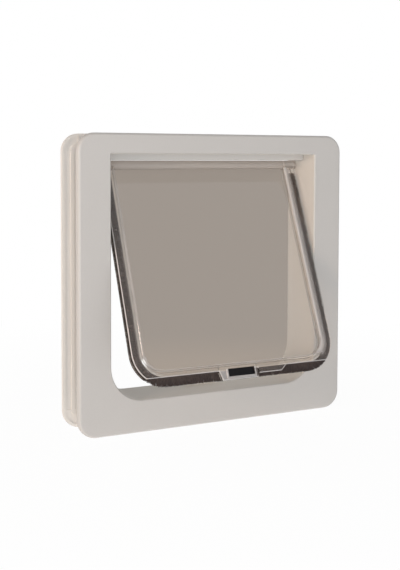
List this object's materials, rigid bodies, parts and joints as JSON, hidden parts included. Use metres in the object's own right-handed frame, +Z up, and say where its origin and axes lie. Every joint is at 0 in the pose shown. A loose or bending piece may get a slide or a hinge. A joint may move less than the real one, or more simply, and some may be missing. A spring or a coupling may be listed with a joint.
{
  "type": "cat flap",
  "caption": "White framed pet door with a clear swinging flap, a brush-edged rim and a magnetic catch, clamped through a door.",
  "frame": {"origin": "middle of the frame's width and height, on the door's outer surface, where the front frame clamps", "axes": "+X across the frame to the right seen from outside, +Y through the door into the room, +Z up"},
  "size_m": [0.268, 0.0944, 0.264],
  "materials": {
    "frame_plastic": "light grey-white moulded plastic with a fine satin grain",
    "flap_plastic": "clear smoke-tinted moulded plastic, polished",
    "pile": "short dark brown brush pile on a woven ribbon",
    "magnet_black": "near-black coated bar magnet",
    "keeper_steel": "plain sheet steel",
    "screw_steel": "zinc-plated steel"
  },
  "bodies": {
    "frame": {"front_frame": "frame_plastic", "rear_frame": "frame_plastic", "sill_magnet": "magnet_black", "magnet_keeper": "keeper_steel", "frame_screw_upper_left": "screw_steel", "frame_screw_upper_right": "screw_steel", "frame_screw_lower_left": "screw_steel", "frame_screw_lower_right": "screw_steel"},
    "flap": {"flap_panel": "flap_plastic", "pile_strip": "pile", "flap_magnet": "magnet_black"}
  },
  "joints": [
    {"name": "flap_swing", "type": "hinge", "parent": "frame", "child": "flap", "pos_m": [0, 0.03025, 0.104], "axis": [1, 0, 0], "range_deg": [-57.1, 102.9]}
  ]
}
